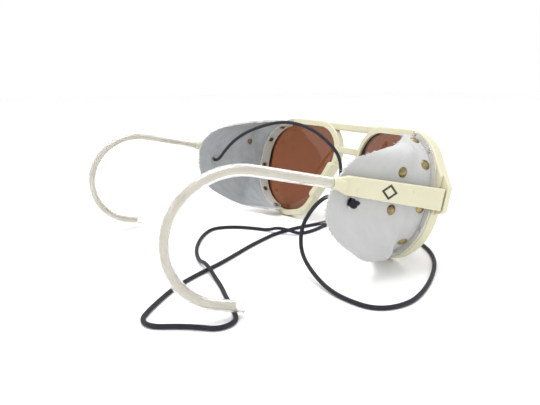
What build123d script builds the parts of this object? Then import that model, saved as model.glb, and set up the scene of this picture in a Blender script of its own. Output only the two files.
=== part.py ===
"""Glacier glasses: a double-bridge front with tinted lenses, leather side shields riveted to
clear strips, temples with curled ends in clear sleeves, and one cord between the two shields.

The glasses are described in their own frame, in millimetres: X across the face with the wearer's
left at +X, +Y to the rear along the open temples, +Z up from the bottom of the rims.  The last
step tips the whole pair forward, as it stands on its rims and curled ends, and puts the middle
of its footprint at the origin.  Every paired piece is built once, for the left, and mirrored.
"""
import os
from math import cos, pi, radians, sin, tan

from build123d import *

os.makedirs("parts", exist_ok=True)

# ---------------------------------------------------------------- driving dimensions
lean = 12.6  # the pair leans forward on its rims and curled ends

# lenses and rims, drawn on an eye plane that is turned back by the wrap
wrap = 7.7
lens_back_y = 0.43  # back of the lens plane where it meets the middle of the bridge
lens_corners = [(7.6, 55.0), (65.2, 54.2), (65.2, -4.4), (26.5, 7.0), (11.0, 34.5)]
lens_radii = [14.0, 21.0, 23.0, 13.0, 22.0]
lens_thickness = 2.2
lens_bite = 0.9  # how far the lens edge sits in its groove
groove_clearance = 0.05
rim_width = 3.2
rim_depth = 4.6
rim_lip = 1.2  # rim standing proud of the back of the lens
rim_rounding = 0.9
opening_rounding = 0.35

# bridge
brow_bottom, brow_top = 54.0, 57.7
brow_half_width = 25.0
bridge_bottom, bridge_top = 42.0, 45.6
bridge_half_width = 8.0
bridge_depth = 3.8
bar_setback = 0.4  # bars stand this far inside the rims' front and back faces
pad_height = 3.6
pad_width = 3.6
pad_middle = [(18.0, 17.4), (12.9, 26.0), (8.9, 34.6)]
pad_rounding = 0.8
bar_rounding = 0.8
lens_edge_chamfer = 0.2

# end pieces that carry the temples
end_outer = 72.4
end_low, end_high = 26.3, 36.6
end_corners = [(52.0, 50.0), (61.0, 51.2), (end_outer, end_high), (end_outer, end_low),
               (62.0, 22.0), (52.0, 26.0)]
end_radii = [1.0, 6.0, 2.0, 1.6, 2.0, 1.0]
butt_y = 9.5

# hinges
hinge_x, hinge_y = 67.6, 12.6
knuckle_radius = 1.35
knuckle_heights = [2.1, 2.2, 2.1]
knuckle_gap = 0.1
screw_radius = 0.55
screw_head_radius = 1.0
screw_head_height = 0.45
screw_clearance = 0.05
pocket_clearance = 0.3
front_leaf_x = 66.4
front_leaf_width = 1.7
front_leaf_y = 8.6
leaf_thickness = 0.6
leaf_length = 6.5

# temples
toe_in = 6.5
temple_height = 31.3
bar_thickness = 2.8
bar_front_height = 8.8
bar_rear_height = 7.0
bar_offset = 1.0  # inner face of the bar outboard of the hinge axis
bar_end_y = 54.0
neck_end_y = 57.5
collar_end_y = 60.5
collar_radius = 2.3
butt_gap = 0.1
straight_end_y = 90.2
curl_radii = [25.4, 21.8]
curl_turns = [57.7, 120.7]
curl_tail = 9.0
sleeve_outer = 2.05
core_radius = 1.35
sleeve_clearance = 0.05
core_stop = 3.0  # core ends this far inside the sleeve
core_rounding = 0.9

# clear strip, leather and rivets behind the outer half of each rim
strip_middle = -1.2  # middle of the wall, measured outward from the lens outline
strip_thickness = 0.9
strip_foot_width = 4.4
strip_foot_thickness = 0.8
strip_height = 5.8
leather_thickness = 1.2
leather_gap = 0.05
margin_setback = 1.3  # leather edge behind the rim
strip_top_x, strip_bottom_x = 49.0, 43.0
rivet_cap_radius = 2.1
rivet_dome = 0.75
rivet_shank_radius = 1.0
rivet_bore_radius = 0.62
rivet_roll_radius = 1.5
rivet_roll_height = 0.35
rivet_setting = 0.12
upper_rivet_angles = [64, 28]
lower_rivet_angles = [0, -41, -82]
pin_head_radius = 0.9
pin_head_height = 0.4
pin_radius = 0.5
pin_length = 2.6
pin_cover = 0.5  # rim left between a pin and the lens groove
upper_pin_angles = [76, 44]
lower_pin_angles = [-62, -20]

# leather flap behind the strip
flap_angle = 3.4
flap_pivot_y = 16.3
flap_corners = [(0.2, 20.0), (0.2, 41.0), (8.0, 50.0), (30.5, 45.5),
                (43.2, 36.0), (43.2, 19.0), (32.0, 7.5), (6.5, 1.5)]
flap_radii = [5.0, 5.0, 4.0, 14.0, 9.0, 9.0, 16.0, 4.0]
flap_rivets_at = [(10.4, 39.1), (12.1, 24.2)]
eyelet_at = (31.7, 25.0)
eyelet_radius = 2.1
eyelet_bore = 1.05
eyelet_barrel = 1.45
eyelet_flange = 0.4

# cord, laid out as it rests on the table; the two halves meet at their last points
cord_radius = 0.95
knot_radius = 1.8
cord_lead = 1.0  # the knot's end of the cord reaches this far inside the eyelet
cord_gap = 0.03
fillet_share = 0.45  # share of the shorter run that a bend may use
cord_z = 0.95
cord_over = 3.0  # height of the cord where it crosses over itself
cord_left_route = [
    (54.3, -8.23, 33.9), (49.5, -9.6, 38.0), (47.6, -14.0, 46.2), (39.6, -19.3, 51.8),
    (27.0, -26.4, 56.4), (17.3, -32.0, 57.4), (7.5, -37.4, 54.8), (0.2, -41.5, 49.9),
    (-6.5, -45.3, 42.7), (-10.2, -44.6, 35.4), (-10.8, -42.8, 27.4), (-9.6, -42.0, 19.5),
    (-7.6, -43.2, 11.8), (-6.6, -47.2, 5.6), (-6.4, -51.6, 1.9), (-6.4, -57.4, cord_z),
    (-1.9, -61.9, cord_z), (4.5, -61.9, cord_z), (9.0, -57.4, cord_z), (9.2, -50.4, cord_z),
    (5.7, -42.4, cord_z), (3.2, -34.6, cord_z), (3.6, -28.4, cord_z), (7.4, -23.6, cord_over),
    (12.3, -20.8, cord_over), (17.2, -18.2, cord_z), (23.7, -13.6, cord_z), (29.8, -7.9, cord_z),
    (33.8, -1.4, cord_z), (35.0, 6.0, cord_z), (28.6, 13.4, cord_z), (18.6, 20.6, cord_z),
    (5.8, 27.2, cord_z), (-6.9, 30.6, cord_z), (-14.5, 31.4, cord_over), (-21.5, 31.9, cord_over),
    (-28.8, 32.3, cord_z), (-37.0, 33.6, cord_z), (-46.8, 36.1, cord_z), (-57.4, 38.2, cord_z),
    (-65.3, 40.6, cord_z), (-67.0, 47.9, cord_z), (-62.0, 53.4, cord_z), (-58.2, 58.8, cord_z),
    (-54.2, 66.3, cord_z), (-48.2, 67.6, cord_z), (-42.6, 63.2, cord_z), (-36.8, 57.6, cord_z),
    (-30.4, 51.0, cord_z), (-25.5, 44.1, cord_z), (-20.6, 35.8, cord_z), (-16.0, 26.5, cord_z),
    (-10.3, 16.9, cord_z), (-0.7, 2.1, cord_z), (5.0, -8.6, cord_z), (9.4, -17.4, cord_z),
    (11.3, -25.9, cord_z), (12.8, -33.4, cord_z), (12.9, -40.5, cord_z), (13.2, -48.6, cord_z),
    (13.8, -57.0, cord_z), (10.4, -65.4, cord_z), (3.0, -71.6, cord_z), (-5.4, -74.4, cord_z),
    (-13.99, -74.4, cord_z),
]
cord_right_route = [
    (-54.6, -8.21, 33.9), (-49.2, -7.2, 34.2), (-44.0, -6.0, 30.3), (-39.6, -5.0, 25.0),
    (-36.9, -4.0, 19.9), (-36.6, -3.0, 14.3), (-38.9, -2.0, 9.2), (-43.9, -1.0, 5.9),
    (-51.4, 0.0, 3.4), (-59.0, 0.5, 1.6), (-66.8, 0.4, 1.0), (-74.3, -1.0, cord_z),
    (-79.9, -3.3, cord_z), (-83.0, -7.6, cord_z), (-84.1, -13.4, cord_z), (-83.5, -20.2, cord_z),
    (-79.9, -29.1, cord_z), (-73.4, -40.5, cord_z), (-63.9, -53.7, cord_z), (-54.5, -62.8, cord_z),
    (-46.5, -67.9, cord_z), (-37.6, -71.8, cord_z), (-26.0, -74.4, cord_z), (-14.01, -74.4, cord_z),
]

# ---------------------------------------------------------------- shared places
wrap_slope = tan(radians(wrap))
UPPER, LOWER = 1, 2  # the two outer corners in lens_corners
eye_plane = Plane(
    origin=(0, lens_back_y, 0),
    x_dir=(cos(radians(wrap)), sin(radians(wrap)), 0),
    z_dir=(sin(radians(wrap)), -cos(radians(wrap)), 0),
)
eye_axis = Axis(eye_plane.origin, eye_plane.z_dir)


def behind_lens(distance):
    """The eye plane moved rearward from the back of the lens."""
    return eye_plane.offset(-distance)


def outer_corner(index):
    """Centre and radius of the lens outline's outer corner, upper (1) or lower (2)."""
    (x, z), radius = lens_corners[index], lens_radii[index]
    neighbour_x, neighbour_z = lens_corners[0] if index == UPPER else lens_corners[3]
    slope = (neighbour_z - z) / (neighbour_x - x)
    inward = -1 if index == UPPER else 1
    centre_z = z - slope * radius + inward * radius * (1 + slope**2) ** 0.5
    return x - radius, centre_z, radius


def on_corner(index, angle, outward):
    """Point of the eye plane on an outer corner, outward from the lens outline."""
    x, z, radius = outer_corner(index)
    reach = radius + outward
    return x + reach * cos(radians(angle)), z + reach * sin(radians(angle))


def radial_plane(index, angle, outward, depth):
    """Plane that faces outward from an outer corner, at a depth behind the lens."""
    x, z = on_corner(index, angle, outward)
    place = behind_lens(depth)
    origin = place.from_local_coords((x, z, 0))
    facing = place.x_dir * cos(radians(angle)) + Vector(0, 0, 1) * sin(radians(angle))
    return Plane(origin=origin, z_dir=facing)


def lens_outline(outward):
    """Face of the lens outline, grown outward."""
    with BuildSketch() as outline:
        with BuildLine():
            FilletPolyline(*lens_corners, radius=lens_radii, close=True)
        make_face()
        if outward != 0:
            offset(amount=outward, kind=Kind.ARC)
    return outline.sketch


def outer_half():
    """Region of the eye plane that holds the strip and the leather margin."""
    with BuildSketch() as region:
        with BuildLine():
            Polyline((strip_top_x, 70), (90, 70), (90, -20), (strip_bottom_x, -20), close=True)
        make_face()
    return region.sketch


def outer_band(inner, outer):
    """Band along the outer half of the lens outline between two offsets."""
    with BuildSketch() as band:
        add(lens_outline(outer))
        add(lens_outline(inner), mode=Mode.SUBTRACT)
        add(outer_half(), mode=Mode.INTERSECT)
    return band.sketch


margin_rear = rim_lip + strip_height
rivet_depth = rim_lip + 0.5 * (margin_setback + strip_height)
wall_inner = strip_middle - strip_thickness / 2
wall_outer = strip_middle + strip_thickness / 2
margin_inner = wall_outer + leather_gap
margin_outer = margin_inner + leather_thickness
rivet_spots = [(UPPER, angle) for angle in upper_rivet_angles]
rivet_spots += [(LOWER, angle) for angle in lower_rivet_angles]
pin_spots = [(UPPER, angle) for angle in upper_pin_angles]
pin_spots += [(LOWER, angle) for angle in lower_pin_angles]
foot_inner = wall_inner
foot_outer = foot_inner + strip_foot_width
pin_outward = lens_bite + pin_radius + pin_cover

hinge_bottom = temple_height - (sum(knuckle_heights) + 2 * knuckle_gap) / 2
hinge_height = sum(knuckle_heights) + 2 * knuckle_gap
temple_inner_x = hinge_x + bar_offset
temple_middle_x = temple_inner_x + bar_thickness / 2
temple_plane = Plane(origin=(temple_middle_x, 0, 0), x_dir=(0, 1, 0), z_dir=(1, 0, 0))
hinge_axis = Axis((hinge_x, hinge_y, 0), (0, 0, 1))

flap_pivot_x = (lens_corners[1][0] + (margin_inner + margin_outer) / 2) * cos(radians(wrap))
flap_pivot_x += margin_rear * -sin(radians(wrap))
flap_plane = Plane(
    origin=(flap_pivot_x, flap_pivot_y, 0),
    x_dir=(-sin(radians(flap_angle)), cos(radians(flap_angle)), 0),
    z_dir=(cos(radians(flap_angle)), sin(radians(flap_angle)), 0),
)


# ---------------------------------------------------------------- front
def cut_lens_opening():
    """Space that the lens opening and its groove take out of a rim."""
    with BuildPart() as opening:
        with BuildSketch(behind_lens(margin_rear)):
            add(lens_outline(0))
        extrude(amount=margin_rear + rim_depth)
        with BuildSketch(behind_lens(groove_clearance)):
            add(lens_outline(lens_bite + groove_clearance))
        extrude(amount=lens_thickness + 2 * groove_clearance)
        for corner, angle in pin_spots:
            with BuildSketch(behind_lens(rim_lip)):
                with Locations(on_corner(corner, angle, pin_outward)):
                    Circle(pin_radius)
            extrude(amount=pin_length - strip_foot_thickness)
    return opening.part


def make_nose_pad():
    """Moulded pad that stands behind the nasal side of the rim, from inside the rim's depth."""
    with BuildPart() as pad:
        with BuildSketch(behind_lens(rim_lip - rim_depth / 2)):
            with BuildLine(mode=Mode.PRIVATE):
                middle = ThreePointArc(*pad_middle)
            SlotArc(middle, pad_width)
        extrude(amount=-pad_height - rim_depth / 2)
        fillet(pad.faces().sort_by(eye_axis)[0].edges(), pad_rounding)
    return pad.part


def rounded_plate(outline):
    """Plate of the rim's depth with rounded front and back edges."""
    with BuildPart() as plate:
        with BuildSketch(behind_lens(rim_lip)):
            add(outline)
        extrude(amount=rim_depth)
        flat_faces = plate.faces().sort_by(eye_axis)
        fillet(flat_faces[0].edges() + flat_faces[-1].edges(), rim_rounding)
    return plate.part


def make_rim():
    """One rim with its end piece and its moulded nose pad."""
    with BuildSketch() as end_piece:
        with BuildLine():
            FilletPolyline(*end_corners, radius=end_radii, close=True)
        make_face()
    with BuildPart() as rim:
        add(rounded_plate(lens_outline(rim_width)))
        add(rounded_plate(end_piece.sketch))
        add(make_nose_pad())
        with Locations((temple_inner_x - butt_gap, butt_y, temple_height)):
            Box(20, 30, 60, align=(Align.MIN, Align.MIN, Align.CENTER), mode=Mode.SUBTRACT)
    return rim.part


def bridge_bar(bottom, top, half_width):
    """A bar across the nose that follows the wrap of the two rims."""
    front = lens_back_y - (rim_depth - rim_lip) + bar_setback
    rear = front + bridge_depth
    rise = wrap_slope * half_width
    with BuildPart() as bar:
        with BuildSketch(Plane.XY.offset(bottom)) as section:
            with BuildLine():
                Polyline((-half_width, front + rise), (0, front), (half_width, front + rise),
                         (half_width, rear + rise), (0, rear), (-half_width, rear + rise), close=True)
            make_face()
            middle = [corner for corner in section.vertices() if abs(corner.X) < half_width / 2]
            fillet(middle, 2 * half_width)
        extrude(amount=top - bottom)
        long_edges = [edge for edge in bar.edges().filter_by(Axis.Z, reverse=True) if abs(edge.center().X) < half_width * 0.9]
        fillet(long_edges, bar_rounding)
    return bar.part


def make_front_frame(front_leaf):
    """Both rims, the brow bar and the lower bridge, moulded in one."""
    with BuildPart() as front_frame:
        add(make_rim())
        add(bridge_bar(brow_bottom, brow_top, brow_half_width))
        add(bridge_bar(bridge_bottom, bridge_top, bridge_half_width))
        split(bisect_by=Plane.YZ, keep=Keep.TOP)
        add(cut_lens_opening(), mode=Mode.SUBTRACT)
        add(front_leaf, mode=Mode.SUBTRACT)
        mirror(about=Plane.YZ)
    front_frame.part.label = "front_frame"
    return front_frame.part


def make_lens():
    """Tinted lens, seated in the groove all round."""
    with BuildPart() as lens:
        with BuildSketch(behind_lens(0)):
            add(lens_outline(lens_bite))
        extrude(amount=lens_thickness)
        flat_faces = lens.faces().sort_by(eye_axis)
        chamfer(flat_faces[0].edges() + flat_faces[-1].edges(), lens_edge_chamfer)
    lens.part.label = "lens"
    return lens.part


# ---------------------------------------------------------------- strip, margin and their fasteners
def make_strip():
    """Clear angle strip: a foot on the back of the rim and a wall that stands to the rear."""
    with BuildPart() as strip:
        with BuildSketch(behind_lens(rim_lip)):
            add(outer_band(foot_inner, foot_outer))
        extrude(amount=-strip_foot_thickness)
        with BuildSketch(behind_lens(rim_lip)):
            add(outer_band(wall_inner, wall_outer))
        extrude(amount=-strip_height)
        for corner, angle in rivet_spots:
            with BuildSketch(radial_plane(corner, angle, wall_inner - 1, rivet_depth)):
                Circle(rivet_shank_radius + rivet_setting)
            extrude(amount=strip_thickness + 2, mode=Mode.SUBTRACT)
        for corner, angle in pin_spots:
            with BuildSketch(behind_lens(rim_lip)):
                with Locations(on_corner(corner, angle, pin_outward)):
                    Circle(pin_radius)
            extrude(amount=-strip_foot_thickness, mode=Mode.SUBTRACT)
        add(hinge_keep_out(), mode=Mode.SUBTRACT)
    strip.part.label = "shield_strip"
    return strip.part


def make_margin():
    """Leather that wraps the strip's wall, split from the flap along the line where it folds."""
    with BuildPart() as margin:
        with BuildSketch(behind_lens(rim_lip + margin_setback)):
            add(outer_band(margin_inner, margin_outer))
        extrude(amount=margin_setback - strip_height)
        for corner, angle in rivet_spots:
            with BuildSketch(radial_plane(corner, angle, wall_inner - 1, rivet_depth)):
                Circle(rivet_shank_radius + rivet_setting)
            extrude(amount=strip_thickness + leather_thickness + 3, mode=Mode.SUBTRACT)
    margin.part.label = "shield_margin"
    return margin.part


def rivet(grip):
    """Tubular rivet with a domed cap at z = 0, closed by a rolled end inside."""
    length = grip + rivet_setting
    with BuildPart() as tube:
        with BuildSketch(Plane.XZ):
            with BuildLine():
                ThreePointArc((0, rivet_dome), (rivet_cap_radius * 0.6, rivet_dome * 0.68),
                              (rivet_cap_radius, 0))
                Polyline((rivet_cap_radius, 0), (rivet_shank_radius, 0), (rivet_shank_radius, -length),
                         (rivet_roll_radius, -length), (rivet_roll_radius, -length - rivet_roll_height),
                         (rivet_bore_radius, -length - rivet_roll_height),
                         (rivet_bore_radius, -rivet_roll_height), (0, -rivet_roll_height),
                         (0, rivet_dome))
            make_face()
        revolve(axis=Axis.Z)
    return tube.part


def make_margin_rivets():
    """Rivets through the leather margin and the strip."""
    one = rivet(leather_thickness + leather_gap + strip_thickness)
    with BuildPart() as rivets:
        for corner, angle in rivet_spots:
            seat = radial_plane(corner, angle, margin_outer + rivet_setting / 2, rivet_depth)
            add(seat.location * one)
    rivets.part.label = "margin_rivets"
    return rivets.part


def make_strip_pins():
    """Brass pins that hold the strip's foot to the rim."""
    with BuildPart() as pins:
        for corner, angle in pin_spots:
            with BuildSketch(behind_lens(rim_lip + strip_foot_thickness)):
                with Locations(on_corner(corner, angle, pin_outward)):
                    Circle(pin_radius)
            extrude(amount=pin_length)
            with BuildSketch(behind_lens(rim_lip + strip_foot_thickness)):
                with Locations(on_corner(corner, angle, pin_outward)):
                    Circle(pin_head_radius)
            extrude(amount=-pin_head_height, taper=30)
    pins.part.label = "strip_pins"
    return pins.part


# ---------------------------------------------------------------- flap and its fittings
def make_flap():
    """Leather flap behind the strip, flat, with holes for its rivets and the cord eyelet."""
    with BuildPart() as flap:
        with BuildSketch(flap_plane.offset(-leather_thickness / 2)):
            with BuildLine():
                FilletPolyline(*flap_corners, radius=flap_radii, close=True)
            make_face()
            with Locations(*flap_rivets_at):
                Circle(rivet_shank_radius + rivet_setting, mode=Mode.SUBTRACT)
            with Locations(eyelet_at):
                Circle(eyelet_barrel, mode=Mode.SUBTRACT)
        extrude(amount=leather_thickness)
    flap.part.label = "shield_flap"
    return flap.part


def make_flap_rivets():
    """Rivets through the leather alone."""
    one = rivet(leather_thickness)
    with BuildPart() as rivets:
        for x, z in flap_rivets_at:
            seat = flap_plane.offset(leather_thickness / 2 + rivet_setting / 2).location
            add(seat * Location((x, z, 0)) * one)
    rivets.part.label = "flap_rivets"
    return rivets.part


def make_eyelet():
    """Metal eyelet that the cord passes through."""
    outer_face = leather_thickness / 2
    with BuildPart() as eyelet:
        for face, thickness in ((outer_face, eyelet_flange), (-outer_face, -eyelet_flange)):
            with BuildSketch(flap_plane.offset(face)):
                with Locations(eyelet_at):
                    Circle(eyelet_radius)
            extrude(amount=thickness)
        with BuildSketch(flap_plane.offset(-outer_face)):
            with Locations(eyelet_at):
                Circle(eyelet_barrel)
        extrude(amount=leather_thickness)
        with BuildSketch(flap_plane.offset(-outer_face - eyelet_flange)):
            with Locations(eyelet_at):
                Circle(eyelet_bore)
        extrude(amount=leather_thickness + 2 * eyelet_flange, mode=Mode.SUBTRACT)
    eyelet.part.label = "cord_eyelet"
    return eyelet.part


def make_knot():
    """Stopper knot on the outside of the eyelet, with the cord's end through the eyelet."""
    inner_face = -leather_thickness / 2 - eyelet_flange
    outer_face = leather_thickness / 2 + eyelet_flange
    knot_height = (knot_radius**2 - (eyelet_bore + 0.1) ** 2) ** 0.5
    with BuildPart() as knot:
        with BuildSketch(flap_plane.offset(inner_face - cord_lead)):
            with Locations(eyelet_at):
                Circle(cord_radius)
        extrude(amount=cord_lead + outer_face - inner_face + knot_radius / 2)
        ball = flap_plane.offset(outer_face + knot_height + 0.05).location * Location((*eyelet_at, 0))
        add(ball * Sphere(knot_radius, mode=Mode.PRIVATE))
    knot.part.label = "cord_knot"
    return knot.part


# ---------------------------------------------------------------- hinges
def knuckle_span(index):
    """Bottom and height of a hinge knuckle, counted from below."""
    return hinge_bottom + sum(knuckle_heights[:index]) + index * knuckle_gap, knuckle_heights[index]


def knuckle(index, radius, length_added=0.0):
    """Round solid on the hinge axis over one knuckle."""
    bottom, height = knuckle_span(index)
    with BuildPart() as solid:
        with BuildSketch(Plane((hinge_x, hinge_y, bottom - length_added))):
            Circle(radius)
        extrude(amount=height + 2 * length_added)
    return solid.part


def hinge_keep_out():
    """Room that the front hinge takes out of the strip's foot."""
    with BuildPart() as room:
        with Locations((front_leaf_x - 0.3, hinge_y - 6, temple_height)):
            Box(6, 8, hinge_height + 1.2, align=(Align.MIN, Align.MIN, Align.CENTER))
    return room.part


def make_front_leaf():
    """Leaf of the front hinge, sunk into the back of the rim."""
    with BuildPart() as leaf:
        with Locations((front_leaf_x, front_leaf_y, hinge_bottom)):
            Box(front_leaf_width, hinge_y - front_leaf_y - knuckle_radius - 0.2, hinge_height,
                align=(Align.MIN, Align.MIN, Align.MIN))
    return leaf.part


def make_front_hinge():
    """Front half of the hinge: a sunk leaf and the two outer knuckles."""
    with BuildPart() as front_hinge:
        add(make_front_leaf())
        for index in (0, 2):
            bottom, height = knuckle_span(index)
            add(knuckle(index, knuckle_radius))
            with Locations((front_leaf_x, front_leaf_y, bottom)):
                Box(front_leaf_width, hinge_y - front_leaf_y, height, align=(Align.MIN, Align.MIN, Align.MIN))
        with BuildSketch(Plane((hinge_x, hinge_y, hinge_bottom - 1))):
            Circle(screw_radius)
        extrude(amount=hinge_height + 2, mode=Mode.SUBTRACT)
    front_hinge.part.label = "front_hinge"
    return front_hinge.part


def make_hinge_screw():
    """Hinge screw with a slotted head on top."""
    with BuildPart() as screw:
        with BuildSketch(Plane((hinge_x, hinge_y, hinge_bottom))):
            Circle(screw_radius)
        extrude(amount=hinge_height)
        with BuildSketch(Plane((hinge_x, hinge_y, hinge_bottom + hinge_height))):
            Circle(screw_head_radius)
        extrude(amount=screw_head_height)
        with Locations((hinge_x, hinge_y, hinge_bottom + hinge_height + screw_head_height)):
            Box(3, 0.3, 0.4, mode=Mode.SUBTRACT)
    screw.part.label = "hinge_screw"
    return screw.part


def make_temple_leaf():
    """Leaf of the temple hinge, let into the inner face of the bar."""
    with BuildPart() as leaf:
        with Locations((temple_inner_x, hinge_y - 1.0, hinge_bottom + knuckle_heights[0])):
            Box(leaf_thickness, leaf_length, hinge_height - 2 * knuckle_heights[0],
                align=(Align.MIN, Align.MIN, Align.MIN))
    return leaf.part


def make_temple_hinge():
    """Temple half of the hinge: a leaf in the bar and the middle knuckle."""
    with BuildPart() as temple_hinge:
        add(make_temple_leaf())
        add(knuckle(1, knuckle_radius))
        with BuildSketch(Plane((hinge_x, hinge_y, hinge_bottom - 1))):
            Circle(screw_radius + screw_clearance)
        extrude(amount=hinge_height + 2, mode=Mode.SUBTRACT)
    temple_hinge.part.label = "temple_hinge"
    return temple_hinge.part


# ---------------------------------------------------------------- temples
def curl(length_removed=0.0):
    """Middle line of the temple from the collar round its curled end."""
    with BuildLine() as line:
        straight = Line((collar_end_y, temple_height), (straight_end_y, temple_height))
        first = JernArc(straight @ 1, straight % 1, curl_radii[0], -curl_turns[0])
        second = JernArc(first @ 1, first % 1, curl_radii[1], -curl_turns[1])
        Line(second @ 1, second @ 1 + (second % 1) * (curl_tail - length_removed))
    return temple_plane.from_local_coords(line.wire())


def make_temple():
    """Flat bar that narrows to a round collar, cut away round the hinge."""
    with BuildPart() as temple:
        with BuildSketch(temple_plane.offset(-bar_thickness / 2)):
            with BuildLine():
                Polyline((butt_y + butt_gap, temple_height - bar_front_height / 2),
                         (bar_end_y, temple_height - bar_rear_height / 2),
                         (neck_end_y, temple_height - collar_radius),
                         (neck_end_y, temple_height + collar_radius),
                         (bar_end_y, temple_height + bar_rear_height / 2),
                         (butt_y + butt_gap, temple_height + bar_front_height / 2), close=True)
            make_face()
        extrude(amount=bar_thickness)
        fillet(temple.faces().filter_by(Axis.X).edges(), bar_rounding)
        with BuildSketch(Plane(origin=(temple_middle_x, bar_end_y + 1.5, temple_height), z_dir=(0, 1, 0))):
            Circle(collar_radius)
        extrude(amount=collar_end_y - bar_end_y - 1.5)
        fillet(temple.faces().sort_by(Axis.Y)[-1].edges(), 0.5)
        with BuildSketch(Plane((hinge_x, hinge_y, hinge_bottom - 0.6))):
            Circle(knuckle_radius + pocket_clearance)
        extrude(amount=hinge_height + 1.8, mode=Mode.SUBTRACT)
        add(make_temple_leaf(), mode=Mode.SUBTRACT)
    temple.part.label = "temple"
    return temple.part


def make_sleeve():
    """Clear sleeve over the curled core."""
    path = curl()
    with BuildPart() as sleeve:
        with BuildSketch(Plane(origin=path @ 0, z_dir=path % 0)):
            Circle(sleeve_outer)
            Circle(core_radius + sleeve_clearance, mode=Mode.SUBTRACT)
        sweep(path=path)
    sleeve.part.label = "temple_sleeve"
    return sleeve.part


def make_core():
    """Curled core inside the sleeve, rounded at its end."""
    path = curl(core_stop)
    with BuildPart() as core:
        with BuildSketch(Plane(origin=path @ 0, z_dir=path % 0)):
            Circle(core_radius)
        sweep(path=path)
        tip = core.edges().filter_by(GeomType.CIRCLE).sort_by_distance(path @ 1)[0]
        fillet(tip, core_rounding)
    core.part.label = "temple_core"
    return core.part


# ---------------------------------------------------------------- cord
def make_cord(label, start, route):
    """Half of the cord, from its knot's end along the route, rounded at every bend."""
    points = [start] + [Vector(*point) for point in route]
    runs = [after - before for before, after in zip(points, points[1:])]
    radii = []
    for run, next_run in zip(runs, runs[1:]):
        half_turn = radians(run.get_angle(next_run)) / 2
        radii.append(fillet_share * min(run.length, next_run.length) / tan(half_turn))
    with BuildLine() as path:
        FilletPolyline(*points, radius=radii)
    wire = path.wire()
    with BuildPart() as cord:
        with BuildSketch(Plane(origin=wire @ 0, z_dir=wire % 0)):
            Circle(cord_radius)
        sweep(path=wire)
    cord.part.label = label
    print(label, "length", round(wire.length, 1), "volume over section and length",
          round(cord.part.volume / (pi * cord_radius**2 * wire.length), 4))
    print(label, "bend radii", [round(radius, 1) for radius in radii])
    print(label, "longest run", round(max(run.length for run in runs), 1))
    return cord.part


# ---------------------------------------------------------------- assembly
temple_pieces = [make_temple(), make_core(), make_sleeve(), make_temple_hinge()]
for piece in temple_pieces:
    piece.move(Location((hinge_x, hinge_y, 0), (0, 0, toe_in)) * Location((-hinge_x, -hinge_y, 0)))

left_pieces = temple_pieces + [
    make_lens(), make_strip(), make_margin(), make_margin_rivets(), make_strip_pins(), make_flap(),
    make_flap_rivets(), make_eyelet(), make_knot(), make_front_hinge(), make_hinge_screw(),
]

pieces = {"front_frame": make_front_frame(make_front_leaf())}
for piece in left_pieces:
    pieces[piece.label + "_left"] = piece
    pieces[piece.label + "_right"] = piece.mirror(Plane.YZ)

leaning = Location((0, 0, 0), (lean, 0, 0))
box = Compound([leaning * piece for piece in pieces.values()]).bounding_box()
standing = Location((0, -(box.min.Y + box.max.Y) / 2, -box.min.Z)) * leaning

for name, piece in pieces.items():
    piece.label = name
    piece.locate(standing * piece.location)

eyelet_inner = flap_plane.offset(-leather_thickness / 2 - eyelet_flange - cord_lead - cord_gap)
cord_start = eyelet_inner.from_local_coords((*eyelet_at, 0))
start_left = (standing * Location(cord_start)).position
start_right = Vector(-start_left.X, start_left.Y, start_left.Z)
pieces["cord_left"] = make_cord("cord_left", start_left, cord_left_route)
pieces["cord_right"] = make_cord("cord_right", start_right, cord_right_route)

for name, piece in pieces.items():
    export_step(piece, f"parts/{name}.step")
    print(name, round(piece.volume, 1), len(piece.solids()))

print("hinge axis point left", standing * Location((hinge_x, hinge_y, temple_height)))
print("flap pivot left", standing * Location((flap_pivot_x, flap_pivot_y, temple_height)))
print("standing", standing)
print("cord starts", start_left, start_right)
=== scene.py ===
"""Looks of the glacier glasses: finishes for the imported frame, the leather side shields, the
neck cord with its knots, the printed mark on the temples, and the studio around them."""
from math import cos, radians, sin, tau
from random import Random

import bmesh
import bpy
from mathutils import Matrix, Vector, noise


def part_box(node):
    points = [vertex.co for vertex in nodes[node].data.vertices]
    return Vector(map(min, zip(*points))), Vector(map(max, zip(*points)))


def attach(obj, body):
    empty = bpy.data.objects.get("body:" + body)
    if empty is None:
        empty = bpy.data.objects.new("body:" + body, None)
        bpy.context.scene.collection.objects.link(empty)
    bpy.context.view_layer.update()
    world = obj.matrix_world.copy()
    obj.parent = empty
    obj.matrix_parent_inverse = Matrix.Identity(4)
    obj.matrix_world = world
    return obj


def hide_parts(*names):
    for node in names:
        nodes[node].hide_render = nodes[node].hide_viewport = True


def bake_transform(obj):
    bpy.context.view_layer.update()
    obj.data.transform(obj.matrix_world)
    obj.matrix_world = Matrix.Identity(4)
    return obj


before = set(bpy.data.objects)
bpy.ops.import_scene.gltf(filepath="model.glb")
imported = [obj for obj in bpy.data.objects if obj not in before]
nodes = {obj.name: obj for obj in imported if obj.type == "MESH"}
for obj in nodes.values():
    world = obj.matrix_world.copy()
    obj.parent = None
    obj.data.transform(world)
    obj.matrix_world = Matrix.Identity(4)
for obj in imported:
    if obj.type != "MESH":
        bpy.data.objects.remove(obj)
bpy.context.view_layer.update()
MM = 0.001
SIDES = ("left", "right")

# ---------------------------------------------------------------- the glasses' own frame
LEAN = radians(12.6)
STAND_Y, STAND_Z = -49.1354, -0.9027
WRAP = radians(7.7)
LENS_BACK = 0.43
# middle across the eye plane, middle height and radius of the two outer arcs of each lens
UPPER_ARC, LOWER_ARC = (44.2, 33.49, 21.0), (42.2, 26.35, 23.0)
FLAP_TURN = radians(3.4)
FLAP_X, FLAP_Y = 63.575, 16.3
BAR_TURN = radians(6.5)
HINGE_X, HINGE_Y = 67.6, 12.6
BAR_FACE, BAR_HEIGHT = 71.4, 31.3


def sign_of(side):
    return -1 if side == "right" else 1


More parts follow.
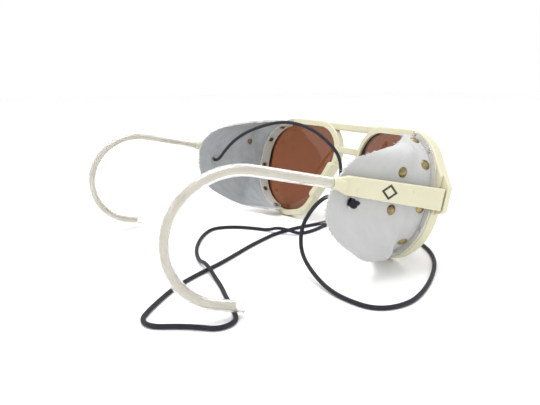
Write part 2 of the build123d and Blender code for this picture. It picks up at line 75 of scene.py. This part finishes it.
def stand(x, y, z):
    """A point of the upright glasses, in mm, put where the leaning pair has it, in metres."""
    return MM * Vector((x, y * cos(LEAN) - z * sin(LEAN) + STAND_Y,
                        y * sin(LEAN) + z * cos(LEAN) + STAND_Z))


def behind_rim(angle, offset, depth):
    """A point behind the outer half of the rim: angle along it, offset outward, depth back."""
    middle, height, radius = UPPER_ARC if angle > 0 else LOWER_ARC
    u = middle + (radius + offset) * cos(angle)
    z = height + (radius + offset) * sin(angle)
    return Vector((u * cos(WRAP) - depth * sin(WRAP),
                   LENS_BACK + u * sin(WRAP) + depth * cos(WRAP), z))


def flap_x(y):
    """How far out the flat of the leather flap is, at a distance back."""
    return FLAP_X - (y - FLAP_Y) * sin(FLAP_TURN) / cos(FLAP_TURN)


# ---------------------------------------------------------------- finishes
def new_finish(name, **sockets):
    finish = bpy.data.materials.new(name)
    finish.use_nodes = True
    shader = finish.node_tree.nodes["Principled BSDF"]
    for socket, value in sockets.items():
        shader.inputs[socket.replace("_", " ")].default_value = value
    return finish


def add_node(finish, kind, inputs=None, **settings):
    node = finish.node_tree.nodes.new(kind)
    for name, value in settings.items():
        setattr(node, name, value)
    for socket, value in (inputs or {}).items():
        if isinstance(value, bpy.types.NodeSocket):
            finish.node_tree.links.new(value, node.inputs[socket])
        else:
            node.inputs[socket].default_value = value
    return node


def surface_place(finish, scale, coordinates="Object", turn=0.0):
    """Where a pattern is read on the piece, stretched by scale."""
    place = add_node(finish, "ShaderNodeTexCoord")
    mapping = add_node(finish, "ShaderNodeMapping",
                       {"Vector": place.outputs[coordinates], "Scale": scale,
                        "Rotation": (0, 0, turn)})
    return mapping.outputs["Vector"]


def spotted(finish, low, high, scale, detail=4.0, coordinates="Object", rough=0.6):
    """Base colour that wanders between two colours."""
    tint = add_node(finish, "ShaderNodeTexNoise",
                    {"Vector": surface_place(finish, (1, 1, 1), coordinates), "Scale": scale,
                     "Detail": detail, "Roughness": rough})
    ramp = add_node(finish, "ShaderNodeValToRGB", {"Fac": tint.outputs["Fac"]})
    ramp.color_ramp.elements[0].position = 0.35
    ramp.color_ramp.elements[1].position = 0.65
    ramp.color_ramp.elements[0].color = (*low, 1)
    ramp.color_ramp.elements[1].color = (*high, 1)
    shader = finish.node_tree.nodes["Principled BSDF"]
    finish.node_tree.links.new(ramp.outputs["Color"], shader.inputs["Base Color"])
    return ramp.outputs["Color"]


def painted_crease_shade(finish, colour, dark, reach):
    """Painted shade: the colour sinks towards dark in creases and round edges that meet another
    piece, as found by ambient occlusion.
    """
    crease = add_node(finish, "ShaderNodeAmbientOcclusion", {"Distance": reach}, samples=8)
    share = add_node(finish, "ShaderNodeValToRGB", {"Fac": crease.outputs["AO"]})
    share.color_ramp.elements[0].position = 0.25
    share.color_ramp.elements[1].position = 0.75
    blend = add_node(finish, "ShaderNodeMix", {"Factor": share.outputs["Color"]},
                     data_type="RGBA")
    blend.inputs["A"].default_value = (*dark, 1)
    finish.node_tree.links.new(colour, blend.inputs["B"])
    shader = finish.node_tree.nodes["Principled BSDF"]
    finish.node_tree.links.new(blend.outputs["Result"], shader.inputs["Base Color"])


def rough_skin(finish, scale, height, detail=3.0, coordinates="Object", strength=1.0):
    """Small relief all over the surface."""
    bumps = add_node(finish, "ShaderNodeTexNoise",
                     {"Vector": surface_place(finish, (1, 1, 1), coordinates), "Scale": scale,
                      "Detail": detail})
    bump = add_node(finish, "ShaderNodeBump", {"Height": bumps.outputs["Fac"],
                                               "Distance": height, "Strength": strength})
    shader = finish.node_tree.nodes["Principled BSDF"]
    finish.node_tree.links.new(bump.outputs["Normal"], shader.inputs["Normal"])
    return bump


def worn_gloss(finish, scale, low, high):
    """Roughness that wanders between two values."""
    wear = add_node(finish, "ShaderNodeTexNoise",
                    {"Vector": surface_place(finish, (1, 1, 1)), "Scale": scale, "Detail": 5.0})
    span = add_node(finish, "ShaderNodeMapRange",
                    {"Value": wear.outputs["Fac"], "From Min": 0.3, "From Max": 0.7,
                     "To Min": low, "To Max": high})
    shader = finish.node_tree.nodes["Principled BSDF"]
    finish.node_tree.links.new(span.outputs["Result"], shader.inputs["Roughness"])


ivory = new_finish("ivory_plastic", Subsurface_Weight=0.12, Subsurface_Scale=0.002,
                   Coat_Weight=0.15, Coat_Roughness=0.2)
# painted shade: the ivory darkens in its creases and where it meets other parts
painted_crease_shade(ivory, spotted(ivory, (0.60, 0.575, 0.40), (0.645, 0.62, 0.455), 45.0),
      (0.42, 0.37, 0.22), 0.0012)
rough_skin(ivory, 1400.0, 0.00001)
worn_gloss(ivory, 260.0, 0.26, 0.40)

lens_brown = new_finish("brown_lens", Roughness=0.015, IOR=1.5, Transmission_Weight=1.0)
spotted(lens_brown, (0.145, 0.048, 0.021), (0.16, 0.054, 0.024), 18.0)

sleeve_clear = new_finish("clear_sleeve", IOR=1.5, Transmission_Weight=0.88,
                          Coat_Weight=0.4, Coat_Roughness=0.08)
spotted(sleeve_clear, (0.95, 0.94, 0.92), (0.99, 0.985, 0.975), 120.0)
rough_skin(sleeve_clear, 420.0, 0.000003)
worn_gloss(sleeve_clear, 190.0, 0.04, 0.16)

core_beige = new_finish("beige_core", Roughness=0.45)
spotted(core_beige, (0.76, 0.70, 0.55), (0.84, 0.785, 0.64), 60.0)
rough_skin(core_beige, 900.0, 0.000006)

strip_clear = new_finish("clear_strip", IOR=1.42, Transmission_Weight=0.5,
                         Subsurface_Weight=0.1, Subsurface_Scale=0.001)
spotted(strip_clear, (0.93, 0.91, 0.85), (0.98, 0.965, 0.92), 150.0)
rough_skin(strip_clear, 300.0, 0.000004)
worn_gloss(strip_clear, 300.0, 0.12, 0.22)

brass = new_finish("tarnished_brass", Metallic=1.0)
# painted shade: the rivet brass darkens round its rims and in its creases, on top of its own
# spotted tarnish
painted_crease_shade(brass, spotted(brass, (0.19, 0.15, 0.07), (0.36, 0.29, 0.14), 420.0, 6.0),
      (0.06, 0.045, 0.02), 0.0009)
rough_skin(brass, 2200.0, 0.00004)
worn_gloss(brass, 700.0, 0.28, 0.5)

steel = new_finish("hinge_steel", Metallic=1.0)
# painted shade: the hinge steel darkens in its creases and where it meets other parts
painted_crease_shade(steel, spotted(steel, (0.48, 0.47, 0.45), (0.60, 0.59, 0.57), 600.0),
      (0.10, 0.09, 0.08), 0.0008)
rough_skin(steel, 3000.0, 0.00002)
worn_gloss(steel, 900.0, 0.22, 0.38)

print_black = new_finish("mark_print", Roughness=0.45)
spotted(print_black, (0.018, 0.016, 0.012), (0.035, 0.032, 0.026), 900.0)
rough_skin(print_black, 2500.0, 0.00001)

leather_face = new_finish("leather_face", Roughness=0.62, Sheen_Weight=0.12)
spotted(leather_face, (0.465, 0.472, 0.47), (0.51, 0.515, 0.512), 7.0, 6.0, "UV", 0.65)
rough_skin(leather_face, 90.0, 0.00004, 6.0, "UV")

leather_suede = new_finish("leather_suede", Roughness=0.95, Sheen_Weight=0.35)
spotted(leather_suede, (0.30, 0.317, 0.33), (0.38, 0.397, 0.41), 11.0, 8.0, "UV", 0.7)
rough_skin(leather_suede, 170.0, 0.00012, 8.0, "UV")

leather_edge = new_finish("leather_edge", Roughness=0.95, Sheen_Weight=0.3)
spotted(leather_edge, (0.50, 0.50, 0.49), (0.74, 0.74, 0.72), 900.0, 6.0)
rough_skin(leather_edge, 1800.0, 0.0003, 5.0)

cord_black = new_finish("braided_cord", Roughness=0.62, Sheen_Weight=0.04)
spotted(cord_black, (0.004, 0.005, 0.013), (0.011, 0.012, 0.030), 60.0, 4.0, "UV")
braid_bands = []
for turn in (0.9, -0.9):
    bands = add_node(cord_black, "ShaderNodeTexWave",
                     {"Vector": surface_place(cord_black, (6.0, 5.2, 1.0), "UV", turn),
                      "Scale": 0.55, "Distortion": 0.6}, wave_profile="SIN")
    braid_bands.append(bands.outputs["Fac"])
crossed = add_node(cord_black, "ShaderNodeMath", {0: braid_bands[0], 1: braid_bands[1]},
                   operation="MAXIMUM")
braid = add_node(cord_black, "ShaderNodeBump", {"Height": crossed.outputs["Value"],
                                                "Distance": 0.0004, "Strength": 0.8})
cord_black.node_tree.links.new(
    braid.outputs["Normal"],
    cord_black.node_tree.nodes["Principled BSDF"].inputs["Normal"])

FINISH_OF = {
    "front_frame": ivory, "temple": ivory, "temple_core": core_beige,
    "temple_sleeve": sleeve_clear, "temple_hinge": steel, "front_hinge": steel,
    "hinge_screw": steel, "lens": lens_brown, "shield_strip": strip_clear,
    "margin_rivets": brass, "strip_pins": steel, "flap_rivets": brass, "cord_eyelet": steel,
    "cord_knot": cord_black, "cord": cord_black, "shield_margin": leather_face,
    "shield_flap": leather_face,
}
for name, node in nodes.items():
    kind = name.removesuffix("_left").removesuffix("_right")
    node.data.materials.clear()
    node.data.materials.append(FINISH_OF[kind])


# ---------------------------------------------------------------- pieces
def clear_selection():
    bpy.ops.object.select_all(action="DESELECT")


def only(piece):
    clear_selection()
    piece.select_set(True)
    bpy.context.view_layer.objects.active = piece


def apply_modifiers(piece):
    only(piece)
    for modifier in list(piece.modifiers):
        bpy.ops.object.modifier_apply(modifier=modifier.name)


MERGE_WITHIN = 0.02 * MM
ROUNDED_UNDER = radians(35)


def smoothed(name, source, body):
    """The tube of a CAD node with its facets merged and rounded off by smooth shading."""
    mesh = nodes[source].data.copy()
    piece = bpy.data.objects.new(name, mesh)
    mesh.name = name
    bpy.context.scene.collection.objects.link(piece)
    only(piece)
    bpy.ops.mesh.customdata_custom_splitnormals_clear()
    bpy.ops.object.mode_set(mode="EDIT")
    bpy.ops.mesh.select_all(action="SELECT")
    bpy.ops.mesh.remove_doubles(threshold=MERGE_WITHIN)
    bpy.ops.object.mode_set(mode="OBJECT")
    bpy.ops.object.shade_smooth_by_angle(angle=ROUNDED_UNDER)
    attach(piece, body)
    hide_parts(source)


for side in SIDES:
    smoothed("clear_sleeve_" + side, "temple_sleeve_" + side, "temple_" + side)
    smoothed("sleeve_core_" + side, "temple_core_" + side, "temple_" + side)

# rear edge of the leather: for a place along the rim, where the leather behind it ends.  The
# places are degrees of the upper arc, then the straight side, then degrees of the lower arc.
STRAIGHT = 20  # the straight side counts as this many degrees
STRAIGHT_TOP, STRAIGHT_BOTTOM = UPPER_ARC[1], LOWER_ARC[1]
REAR_EDGE = {
    "right": [
        (82, 46.0, 13.8, 54.3), (78, 48.6, 15.2, 53.9), (72, 51.2, 18.0, 52.2),
        (66, 54.0, 22.4, 50.3), (60, 56.3, 26.0, 48.3), (54, 59.3, 33.8, 46.4),
        (47, 61.0, 40.9, 44.3), (40, 61.5, 45.3, 42.8), (33, 61.6, 49.2, 41.4),
        (26, 61.4, 52.1, 38.8), (18, 61.3, 54.5, 34.6), (8, 61.2, 56.4, 30.8),
        (0, 61.1, 57.6, 27.4), (-21, 61.1, 57.5, 20.6), (-32, 61.2, 56.7, 17.3),
        (-44, 61.3, 54.0, 13.5), (-56, 61.6, 50.2, 10.4), (-68, 61.8, 46.4, 8.1),
        (-80, 61.9, 39.7, 4.8), (-90, 60.2, 33.0, 2.8), (-98, 56.6, 26.0, 1.8),
        (-105, 51.5, 20.0, 1.4), (-112, 45.0, 15.6, 1.8)],
    "left": [
        (82, 45.6, 13.8, 54.9), (78, 48.0, 15.0, 54.6), (70, 55.0, 21.7, 52.8),
        (62, 58.3, 31.0, 50.3), (54, 60.5, 38.6, 47.6), (46, 61.7, 44.1, 45.2),
        (38, 61.6, 49.5, 42.5), (30, 61.4, 53.5, 39.5), (20, 61.2, 57.0, 35.1),
        (10, 61.1, 58.1, 31.5), (0, 61.1, 58.3, 28.2), (-21, 61.1, 57.4, 21.7),
        (-30, 61.3, 55.2, 15.9), (-40, 61.5, 51.4, 10.4), (-52, 61.9, 45.1, 6.6),
        (-65, 62.4, 32.8, 2.0), (-78, 61.5, 24.0, 0.0), (-90, 57.5, 19.8, 0.4),
        (-100, 53.0, 17.4, 1.0), (-112, 45.0, 15.2, 2.0)],
}
BAND_FRONT, BAND_BACK = 2.15, 7.0
BAND_OFFSET = -0.1
FLAT_AFTER = 9.0  # behind the band the leather settles on the flap's flat within this
LEATHER_COLUMNS, LEATHER_ROWS, BAND_ROWS = 150, 44, 5
LEATHER_THICKNESS = 1.2
LEATHER_ROUNDED_UNDER = radians(40)
EASING = ((-4, 1), (-2, 2), (0, 2), (2, 2), (4, 1))  # degrees away, and how much they count
RIPPLE_SCALE, RIPPLE_HEIGHT, RIPPLE_FINE = 0.09, 0.3, 0.06
RIPPLES_FROM, RIPPLES_OVER = 30, 26  # distance back where ripples begin, and full after
TATTER, FINE_TATTER = 0.7, 0.35  # how far the cut edge wanders


def ease(t):
    t = min(max(t, 0.0), 1.0)
    return t * t * (3 - 2 * t)


def rear_edge(side, angle):
    """The rear edge with its corners eased over a few degrees."""
    eased = sum((corner_edge(side, angle + step) * share for step, share in EASING), Vector())
    return eased / sum(share for _, share in EASING)


def corner_edge(side, angle):
    """The rear edge straight from one given point to the next."""
    rows = REAR_EDGE[side]
    angle = min(angle, rows[0][0])
    for (a, *p), (b, *q) in zip(rows, rows[1:]):
        if angle >= b:
            return Vector(p).lerp(Vector(q), (a - angle) / (a - b))
    return Vector(rows[-1][1:])


def leather_point(side, across, back):
    """Middle of the leather: across runs down the rim from 0 to 1, back from rim to rear."""
    top, bottom = REAR_EDGE[side][0][0], REAR_EDGE[side][-1][0]
    run = top + (bottom - top) * across
    angle = run if run > 0 else min(run + STRAIGHT, 0.0)
    front = behind_rim(radians(angle), BAND_OFFSET, BAND_FRONT)
    band = behind_rim(radians(angle), BAND_OFFSET, BAND_BACK)
    if -STRAIGHT < run <= 0:  # the straight side between the two arcs
        front.z = band.z = STRAIGHT_TOP + (STRAIGHT_TOP - STRAIGHT_BOTTOM) * run / STRAIGHT
    rear = rear_edge(side, run)
    if back < BAND_ROWS / LEATHER_ROWS:
        return front.lerp(band, back * LEATHER_ROWS / BAND_ROWS)
    step = (back * LEATHER_ROWS - BAND_ROWS) / (LEATHER_ROWS - BAND_ROWS)
    y = band.y + (rear.y - band.y) * step
    settle = ease((y - band.y) / max(min(FLAT_AFTER, rear.y - band.y), 0.1))
    inset_front, inset_rear = flap_x(band.y) - band.x, flap_x(rear.y) - rear.x
    x = flap_x(y) - inset_front - (inset_rear - inset_front) * settle
    return Vector((x, y, band.z + (rear.z - band.z) * step))


def ripple(point, away):
    """Small hollows and swellings of the hide, growing towards the free edge."""
    spot = Vector((point.y, point.z, 3.0)) * RIPPLE_SCALE
    return away * (RIPPLE_HEIGHT * noise.noise(spot) + RIPPLE_FINE * noise.noise(spot * 3.1))


def joined(first, *others):
    only(first)
    for other in others:
        other.select_set(True)
    bpy.ops.object.join()
    return first


FIBRES, FIBRE_WIDTH, FIBRE_TAPER = 520, 0.09, 0.7
FIBRE_SPREAD = 0.63  # how far fibres lean away from straight out
FIBRE_SHORTEST, FIBRE_GROWTH = 0.45, 1.8


def edge_fibres(side, sign):
    """Short loose fibres of the hide along its cut rear edge, each a slender closed spike."""
    chance = Random(11 + sign)
    shape = bmesh.new()
    for _ in range(FIBRES):
        across = chance.uniform(0.03, 0.99)
        root = leather_point(side, across, 0.995)
        inward = leather_point(side, across, 0.93)
        lean_away = Vector([chance.uniform(-FIBRE_SPREAD, FIBRE_SPREAD) for _ in range(3)])
        out = (root - inward).normalized() + lean_away
        root.x += chance.uniform(-0.5, 0.5)
        length = FIBRE_SHORTEST + FIBRE_GROWTH * chance.random() ** 4
        middle = root + out * length * 0.6 + Vector((0, 0, chance.uniform(-0.15, 0.15)))
        tip = root + out * length + Vector((chance.uniform(-0.2, 0.2), 0,
                                            chance.uniform(-0.35, 0.2)))
        side_on = out.cross(Vector((1, 0.2, 0.1))).normalized() * FIBRE_WIDTH
        level = out.cross(side_on).normalized() * FIBRE_WIDTH
        corners = [[root + side_on, root - side_on, root + level],
                   [middle + FIBRE_TAPER * way for way in (side_on, -side_on, level)]]
        base, waist = [[shape.verts.new(stand(sign * p.x, p.y, p.z)) for p in ring]
                       for ring in corners]
        end = shape.verts.new(stand(sign * tip.x, tip.y, tip.z))
        shape.faces.new(base)
        for k in range(3):
            shape.faces.new((base[k], base[(k + 1) % 3], waist[(k + 1) % 3], waist[k]))
            shape.faces.new((waist[k], waist[(k + 1) % 3], end))
    bmesh.ops.recalc_face_normals(shape, faces=shape.faces)
    mesh = bpy.data.meshes.new("edge_fibres")
    shape.to_mesh(mesh)
    shape.free()
    mesh.materials.append(leather_edge)
    fibres = bpy.data.objects.new("edge_fibres", mesh)
    bpy.context.scene.collection.objects.link(fibres)
    return fibres


def leather_shield(side):
    """One hide, riveted along the rim, bent behind it and free at its rear edge."""
    sign = sign_of(side)
    clear_selection()
    bpy.ops.mesh.primitive_grid_add(x_subdivisions=LEATHER_COLUMNS,
                                    y_subdivisions=LEATHER_ROWS, size=2)
    shield = bpy.context.active_object
    shield.name = shield.data.name = "leather_shield_" + side
    for vertex in shield.data.vertices:
        across, back = (vertex.co.x + 1) / 2, (vertex.co.y + 1) / 2
        point = leather_point(side, across, back)
        free = ease((point.y - RIPPLES_FROM) / RIPPLES_OVER)
        jag = back ** 8 * (TATTER * noise.noise(Vector((across * 70, 5, sign)))
                           + FINE_TATTER * noise.noise(Vector((across * 210, 9, sign))))
        point += Vector((ripple(point, free), jag, 0.4 * jag))
        vertex.co = stand(sign * point.x, point.y, point.z)
    for finish in (leather_face, leather_suede, leather_edge):
        shield.data.materials.append(finish)
    only(shield)
    bpy.ops.object.mode_set(mode="EDIT")
    bpy.ops.mesh.select_all(action="SELECT")
    bpy.ops.mesh.normals_make_consistent(inside=False)
    bpy.ops.object.mode_set(mode="OBJECT")
    middle = shield.data.polygons[len(shield.data.polygons) // 2]
    if middle.normal.x * sign < 0:
        shield.data.flip_normals()
    thickness = shield.modifiers.new("hide", "SOLIDIFY")
    thickness.thickness = LEATHER_THICKNESS * MM
    thickness.offset = 0
    thickness.use_even_offset = True
    thickness.material_offset = 1
    thickness.material_offset_rim = 2
    apply_modifiers(shield)
    bpy.ops.object.shade_smooth_by_angle(angle=LEATHER_ROUNDED_UNDER)
    joined(shield, edge_fibres(side, sign))
    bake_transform(shield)
    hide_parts("shield_margin_" + side, "shield_flap_" + side)


for side in SIDES:
    leather_shield(side)

# ---------------------------------------------------------------- cord
CORD_RADIUS = 0.85 * MM
CORD_LYING, CORD_OVER = 0.95, 3.0
CORD_START = {"left": (59.6687, -7.9169, 33.9277), "right": (-59.6687, -7.9169, 33.9277)}
CORD_ROUTE = {
    "left": [
        (56.6, -8.5, 34.6), (52.4, -10.4, 40.0), (47.2, -14.3, 46.4), (39.6, -19.3, 51.8),
        (27.0, -26.4, 56.4), (17.3, -32.0, 57.4), (7.5, -37.4, 54.8), (0.2, -41.5, 49.9),
        (-6.5, -45.3, 42.7), (-10.2, -44.6, 35.4), (-10.8, -42.8, 27.4), (-9.6, -42.0, 19.5),
        (-7.6, -43.2, 11.8), (-6.6, -47.2, 5.6), (-6.4, -51.6, 1.9), (-6.4, -57.4, CORD_LYING),
        (-1.9, -61.9, CORD_LYING), (4.5, -61.9, CORD_LYING), (9.0, -57.4, CORD_LYING),
        (9.2, -50.4, CORD_LYING), (5.7, -42.4, CORD_LYING), (3.2, -34.6, CORD_LYING),
        (3.6, -28.4, CORD_LYING), (7.4, -23.6, CORD_OVER), (12.3, -20.8, CORD_OVER),
        (17.2, -18.2, CORD_LYING), (23.7, -13.6, CORD_LYING), (29.8, -7.9, CORD_LYING),
        (33.8, -1.4, CORD_LYING), (35.0, 6.0, CORD_LYING), (28.6, 13.4, CORD_LYING),
        (18.6, 20.6, CORD_LYING), (5.8, 27.2, CORD_LYING), (-6.9, 30.6, CORD_LYING),
        (-14.5, 31.4, CORD_OVER), (-21.5, 31.9, CORD_OVER), (-28.8, 32.3, CORD_LYING),
        (-37.0, 33.6, CORD_LYING), (-46.8, 36.1, CORD_LYING), (-57.4, 38.2, CORD_LYING),
        (-65.3, 40.6, CORD_LYING), (-67.0, 47.9, CORD_LYING), (-62.0, 53.4, CORD_LYING),
        (-58.2, 58.8, CORD_LYING), (-54.2, 66.3, CORD_LYING), (-48.2, 67.6, CORD_LYING),
        (-42.6, 63.2, CORD_LYING), (-36.8, 57.6, CORD_LYING), (-30.4, 51.0, CORD_LYING),
        (-25.5, 44.1, CORD_LYING), (-20.6, 35.8, CORD_LYING), (-16.0, 26.5, CORD_LYING),
        (-10.3, 16.9, CORD_LYING), (-0.7, 2.1, CORD_LYING), (5.0, -8.6, CORD_LYING),
        (9.4, -17.4, CORD_LYING), (11.3, -25.9, CORD_LYING), (12.8, -33.4, CORD_LYING),
        (12.9, -40.5, CORD_LYING), (13.2, -48.6, CORD_LYING), (13.8, -57.0, CORD_LYING),
        (10.4, -65.4, CORD_LYING), (3.0, -71.6, CORD_LYING), (-5.4, -74.4, CORD_LYING),
        (-13.99, -74.4, CORD_LYING),
    ],
    "right": [
        (-54.6, -8.21, 33.9), (-49.2, -7.2, 34.2), (-44.0, -6.0, 30.3), (-39.6, -5.0, 25.0),
        (-36.9, -4.0, 19.9), (-36.6, -3.0, 14.3), (-38.9, -2.0, 9.2), (-43.9, -1.0, 5.9),
        (-51.4, 0.0, 3.4), (-59.0, 0.5, 1.6), (-66.8, 0.4, 1.0), (-74.3, -1.0, CORD_LYING),
        (-79.9, -3.3, CORD_LYING), (-83.0, -7.6, CORD_LYING), (-84.1, -13.4, CORD_LYING),
        (-83.5, -20.2, CORD_LYING), (-79.9, -29.1, CORD_LYING), (-73.4, -40.5, CORD_LYING),
        (-63.9, -53.7, CORD_LYING), (-54.5, -62.8, CORD_LYING), (-46.5, -67.9, CORD_LYING),
        (-37.6, -71.8, CORD_LYING), (-26.0, -74.4, CORD_LYING), (-14.01, -74.4, CORD_LYING),
    ],
}
CORD_SIDES = 12
KNOT_POINTS = 60
KNOT_STRAND, KNOT_TAIL = 0.80 * MM, 0.6 * MM
KNOT_SPREAD, KNOT_DEPTH = 0.40 * MM, 0.72 * MM  # of its crossing loops
KNOT_INSET = 1.75 * MM  # middle of the knot, in from the outer end of its room


def cord_line(side):
    """Points along the cord's smooth line, read from its NURBS spline."""
    points = [CORD_START[side]] + CORD_ROUTE[side]
    curve = bpy.data.curves.new("cord_line_" + side, "CURVE")
    curve.dimensions = "3D"
    curve.resolution_u = 12
    spline = curve.splines.new("NURBS")
    spline.points.add(len(points) - 1)
    for place, point in zip(spline.points, points):
        place.co = (*(MM * Vector(point)), 1)
    spline.order_u = 3
    spline.use_endpoint_u = True
    holder = bpy.data.objects.new("cord_line_" + side, curve)
    bpy.context.scene.collection.objects.link(holder)
    bpy.context.view_layer.update()
    drawn = bpy.data.meshes.new_from_object(
        holder.evaluated_get(bpy.context.evaluated_depsgraph_get()))
    line = [vertex.co.copy() for vertex in drawn.vertices]
    bpy.data.objects.remove(holder)
    return line


def tube(name, line, radius, finish, closed=False, sides=CORD_SIDES):
    """A tube of one radius along a line, with a UV map in radii along it and turns round it."""
    count = len(line)
    spots = count if closed else count - 1
    tangents = []
    for i in range(count):
        before = line[i - 1] if closed or i else line[0]
        after = line[(i + 1) % count] if closed or i < spots else line[-1]
        tangents.append((after - before).normalized())
    across = tangents[0].orthogonal().normalized()
    shape = bmesh.new()
    wrap = shape.loops.layers.uv.new("UVMap")
    rings, gone = [], [0.0]
    for i, (point, tangent) in enumerate(zip(line, tangents)):
        if i:
            across = (across - tangent * across.dot(tangent)).normalized()
            gone.append(gone[-1] + (point - line[i - 1]).length / radius)
        over = tangent.cross(across)
        rings.append([shape.verts.new(point + radius * (cos(tau * k / sides) * across
                                                        + sin(tau * k / sides) * over))
                      for k in range(sides)])
    gone.append(gone[-1] + (line[0] - line[-1]).length / radius)
    for i in range(spots):
        ring, next_ring = rings[i], rings[(i + 1) % count]
        for k in range(sides):
            face = shape.faces.new((ring[k], ring[(k + 1) % sides],
                                    next_ring[(k + 1) % sides], next_ring[k]))
            face.smooth = True
            for loop, (along, turn) in zip(face.loops, ((i, k), (i, k + 1), (i + 1, k + 1),
                                                        (i + 1, k))):
                loop[wrap].uv = (gone[along], tau * turn / sides)
    if not closed:
        shape.faces.new(reversed(rings[0]))
        shape.faces.new(rings[-1])
    mesh = bpy.data.meshes.new(name)
    bmesh.ops.recalc_face_normals(shape, faces=shape.faces)
    shape.to_mesh(mesh)
    shape.free()
    mesh.materials.append(finish)
    piece = bpy.data.objects.new(name, mesh)
    bpy.context.scene.collection.objects.link(piece)
    return piece


def stopper_knot(side):
    """An overhand knot pulled tight on the outside of the eyelet, and its stub through it."""
    low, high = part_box("cord_knot_" + side)
    sign = sign_of(side)
    outward = Vector((sign * cos(FLAP_TURN), sin(FLAP_TURN) * cos(LEAN),
                      sin(FLAP_TURN) * sin(LEAN))).normalized()
    start = MM * Vector(CORD_START[side])
    reach = abs((high.x if sign > 0 else low.x) - start.x) / abs(outward.x)
    centre = start + outward * (reach - KNOT_INSET)
    flat = outward.orthogonal().normalized()
    up = outward.cross(flat)
    loop = []
    for i in range(KNOT_POINTS):
        t = tau * i / KNOT_POINTS
        loop.append(centre + KNOT_SPREAD * (sin(t) + 2 * sin(2 * t)) * flat
                    + KNOT_SPREAD * (cos(t) - 2 * cos(2 * t)) * up
                    - KNOT_DEPTH * sin(3 * t) * outward)
    knot = tube("stopper_knot_" + side, loop, KNOT_STRAND, cord_black, closed=True)
    stub = tube("knot_stub", [start + outward * 0.02 * MM, start.lerp(centre, 0.5), centre],
                CORD_RADIUS * 0.98, cord_black)
    tail_end = centre + outward * 0.3 * MM + (flat + up) * 1.5 * MM
    tail = tube("knot_tail", [centre, centre.lerp(tail_end, 0.5), tail_end], KNOT_TAIL,
                cord_black)
    joined(knot, stub, tail)
    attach(knot, "shield_" + side)
    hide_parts("cord_knot_" + side)
    return knot


for side in SIDES:
    line = cord_line(side)
    cord = tube("neck_cord_" + side, line, CORD_RADIUS, cord_black)
    knot = stopper_knot(side)
    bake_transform(cord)
    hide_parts("cord_" + side)

# ---------------------------------------------------------------- printed mark
MARK_AT = 36.2  # how far back along the bar
MARK_SIZE, MARK_LINE, MARK_PROUD = 3.2, 0.8, 0.05
MARK_WIDER, MARK_LOWER = 1.15, 0.92


def on_bar(sign, y, z, out):
    """A point on the outer face of the open temple bar."""
    x, back = BAR_FACE - HINGE_X + out, y - HINGE_Y
    return stand(sign * (HINGE_X + cos(BAR_TURN) * x - sin(BAR_TURN) * back),
                 HINGE_Y + sin(BAR_TURN) * x + cos(BAR_TURN) * back, BAR_HEIGHT + z)


def temple_mark(side):
    """A plain open lozenge printed on the bar."""
    sign = sign_of(side)
    clear_selection()
    bpy.ops.mesh.primitive_circle_add(vertices=4, radius=MARK_SIZE, fill_type="NGON")
    mark = bpy.context.active_object
    mark.name = mark.data.name = "temple_mark_" + side
    bpy.ops.object.mode_set(mode="EDIT")
    bpy.ops.mesh.select_all(action="SELECT")
    bpy.ops.mesh.inset(thickness=MARK_LINE)
    bpy.ops.mesh.delete(type="FACE")
    bpy.ops.mesh.select_all(action="SELECT")
    bpy.ops.mesh.extrude_region_move(TRANSFORM_OT_translate={"value": (0, 0, 2 * MARK_PROUD)})
    bpy.ops.mesh.select_all(action="SELECT")
    bpy.ops.mesh.normals_make_consistent(inside=False)
    bpy.ops.object.mode_set(mode="OBJECT")
    for vertex in mark.data.vertices:
        across, up, out = vertex.co
        vertex.co = on_bar(sign, MARK_AT + across * MARK_WIDER, up * MARK_LOWER, out - MARK_PROUD)
    if sign < 0:
        mark.data.flip_normals()
    mark.data.materials.append(print_black)
    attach(mark, "temple_" + side)


for side in SIDES:
    temple_mark(side)

# ---------------------------------------------------------------- studio
clear_selection()
bpy.ops.mesh.primitive_plane_add(size=8)
floor = bpy.context.active_object
floor.name = "floor"
paper = new_finish("white_paper", Roughness=0.9)
spotted(paper, (0.985, 0.985, 0.985), (0.995, 0.995, 0.995), 3.0)
floor.data.materials.append(paper)

world = bpy.data.worlds.new("studio")
world.use_nodes = True
world.node_tree.nodes["Background"].inputs["Color"].default_value = (1, 1, 1, 1)
world.node_tree.nodes["Background"].inputs["Strength"].default_value = 1.0
bpy.context.scene.world = world


# where the camera is, and the way its picture's right, its picture's top and its lens point
CAMERA_PLACE = (-0.192524, 0.10151, 0.075292)
CAMERA_RIGHT = Vector((-0.50115478, -0.86533603, -0.00611899))
CAMERA_UP = Vector((0.20329442, -0.12460416, 0.97115662))
CAMERA_AHEAD = Vector((0.84113926, -0.48545583, -0.23836396))


def softbox(name, place, size, power):
    lamp = bpy.data.lights.new(name, "AREA")
    lamp.shape = "SQUARE"
    lamp.size = size
    lamp.energy = power
    holder = bpy.data.objects.new(name, lamp)
    holder.location = place
    holder.rotation_euler = (-Vector(place)).to_track_quat("-Z", "Y").to_euler()
    bpy.context.scene.collection.objects.link(holder)


softbox("top_softbox", (0.0, 0.1, 0.9), 0.6, 5.5)
softbox("side_softbox", (0.6, -0.6, 0.5), 0.4, 0.8)

camera_data = bpy.data.cameras.new("camera")
camera_data.sensor_width = 36
camera_data.lens = 31.54
camera_data.clip_start = 0.01
camera = bpy.data.objects.new("camera", camera_data)
bpy.context.scene.collection.objects.link(camera)
camera.matrix_world = (
    Matrix.Translation(CAMERA_PLACE)
    @ Matrix((CAMERA_RIGHT, CAMERA_UP, -CAMERA_AHEAD)).transposed().to_4x4())
bpy.context.scene.camera = camera
bpy.context.scene.view_settings.view_transform = "Standard"
